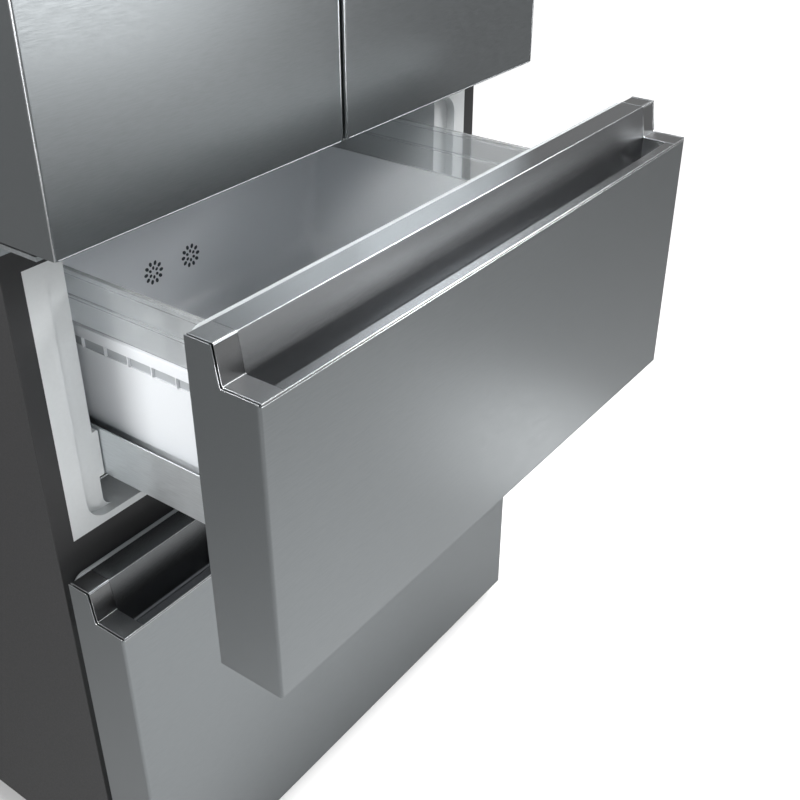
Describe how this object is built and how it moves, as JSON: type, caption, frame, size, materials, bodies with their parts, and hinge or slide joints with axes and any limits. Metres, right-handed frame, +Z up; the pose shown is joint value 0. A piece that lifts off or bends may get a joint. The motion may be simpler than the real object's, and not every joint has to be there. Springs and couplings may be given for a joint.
{
  "type": "refrigerator",
  "caption": "Wide free-standing refrigerator with French doors over full-width pull-out drawers, stepped grips and a clear-walled upper bin.",
  "frame": {"origin": "middle of the bounding box at floor level, with the upper drawer open as pictured", "axes": "+Z up, -Y out of the front, +X to the right seen from the front"},
  "size_m": [0.905, 0.98, 1.829],
  "materials": {
    "brushed_stainless": "fine level brushing",
    "handle_aluminium": "satin",
    "handle_cap": "satin",
    "case_paint": "fine texture",
    "liner_plastic": "satin",
    "bin_plastic": "satin",
    "clear_plastic": "clear moulded",
    "rail_steel": "satin",
    "seal_rubber": "soft matt",
    "dark_plastic": "matt",
    "foam": "rigid foam",
    "shelf_glass": "clear",
    "zinc_steel": "zinc coated",
    "compressor_paint": "gloss",
    "copper_tube": "drawn",
    "fin_aluminium": "rolled",
    "lamp_plastic": "opal",
    "grey_plastic": "matt"
  },
  "bodies": {
    "cabinet": {"case_shell": "case_paint", "divider_bars": "case_paint", "fridge_liner": "liner_plastic", "upper_drawer_liner": "liner_plastic", "freezer_liner": "liner_plastic", "evaporator_cover": "liner_plastic", "air_duct_cover": "liner_plastic", "shelf_frames": "bin_plastic", "crisper_bins": "clear_plastic", "upper_rails": "zinc_steel", "lower_rails": "zinc_steel", "kick_grille": "dark_plastic", "hinge_covers": "dark_plastic", "insulation": "foam", "shelf_glass": "shelf_glass", "back_panel": "zinc_steel", "base_frame": "zinc_steel", "machine_cover": "zinc_steel", "top_hinges": "zinc_steel", "mid_hinges": "zinc_steel", "roller_brackets": "zinc_steel", "compressor": "compressor_paint", "condenser_coil": "copper_tube", "evaporator": "fin_aluminium", "ceiling_light": "lamp_plastic", "condenser_fan_frame": "grey_plastic", "drain_pan": "grey_plastic", "levelling_feet": "grey_plastic"},
    "left_door": {"left_door_panel": "brushed_stainless", "left_door_caps": "dark_plastic", "left_door_liner": "liner_plastic", "left_door_gasket": "seal_rubber", "left_door_bins": "clear_plastic"},
    "right_door": {"right_door_panel": "brushed_stainless", "right_door_caps": "dark_plastic", "right_door_liner": "liner_plastic", "right_door_gasket": "seal_rubber", "right_door_bins": "clear_plastic"},
    "mullion_flap": {"flip_mullion": "dark_plastic"},
    "upper_drawer": {"upper_front_panel": "brushed_stainless", "upper_handle": "handle_aluminium", "upper_handle_caps": "handle_cap", "upper_inner_panel": "liner_plastic", "upper_gasket": "seal_rubber", "upper_bin": "bin_plastic", "upper_bin_rim": "clear_plastic", "upper_side_rails": "rail_steel"},
    "upper_runners": {"upper_slides": "zinc_steel"},
    "lower_drawer": {"lower_front_panel": "brushed_stainless", "lower_handle": "handle_aluminium", "lower_handle_caps": "handle_cap", "lower_inner_panel": "liner_plastic", "lower_gasket": "seal_rubber", "freezer_bin": "bin_plastic", "lower_side_rails": "rail_steel"},
    "lower_runners": {"lower_slides": "zinc_steel"},
    "condenser_rotor": {"condenser_fan": "grey_plastic"},
    "evaporator_rotor": {"evaporator_fan": "grey_plastic"},
    "left_roller": {"rear_roller_left": "grey_plastic"},
    "right_roller": {"rear_roller_right": "grey_plastic"}
  },
  "joints": [
    {"name": "left_door_swing", "type": "hinge", "parent": "cabinet", "child": "left_door", "pos_m": [-0.4385, -0.182, 1.081], "axis": [0, 0, -1], "range_deg": [0, 120]},
    {"name": "right_door_swing", "type": "hinge", "parent": "cabinet", "child": "right_door", "pos_m": [0.4385, -0.182, 1.081], "axis": [0, 0, 1], "range_deg": [0, 120]},
    {"name": "mullion_fold", "type": "hinge", "parent": "left_door", "child": "mullion_flap", "pos_m": [-0.03, -0.115, 1.424], "axis": [0, 0, -1], "range_deg": [0, 90]},
    {"name": "upper_drawer_slide", "type": "slide", "parent": "cabinet", "child": "upper_drawer", "axis": [0, -1, 0], "range_m": [-0.263, 0.157]},
    {"name": "upper_runner_slide", "type": "slide", "parent": "cabinet", "child": "upper_runners", "axis": [0, -1, 0], "range_m": [-0.1315, 0.0785]},
    {"name": "lower_drawer_slide", "type": "slide", "parent": "cabinet", "child": "lower_drawer", "axis": [0, -1, 0], "range_m": [0, 0.3]},
    {"name": "lower_runner_slide", "type": "slide", "parent": "cabinet", "child": "lower_runners", "axis": [0, -1, 0], "range_m": [0, 0.15]},
    {"name": "condenser_fan_spin", "type": "hinge", "parent": "cabinet", "child": "condenser_rotor", "pos_m": [0.308, 0.395, 0.117], "axis": [1, 0, 0], "continuous": true},
    {"name": "evaporator_fan_spin", "type": "hinge", "parent": "cabinet", "child": "evaporator_rotor", "pos_m": [0, 0.25, 0.523], "axis": [0, 1, 0], "continuous": true},
    {"name": "left_roller_spin", "type": "hinge", "parent": "cabinet", "child": "left_roller", "pos_m": [-0.3925, 0.43, 0.019], "axis": [1, 0, 0], "continuous": true},
    {"name": "right_roller_spin", "type": "hinge", "parent": "cabinet", "child": "right_roller", "pos_m": [0.3925, 0.43, 0.019], "axis": [1, 0, 0], "continuous": true}
  ],
  "couplings": [
    {"joint": "upper_runner_slide", "follows": "upper_drawer_slide", "ratio": 0.5},
    {"joint": "lower_runner_slide", "follows": "lower_drawer_slide", "ratio": 0.5}
  ]
}
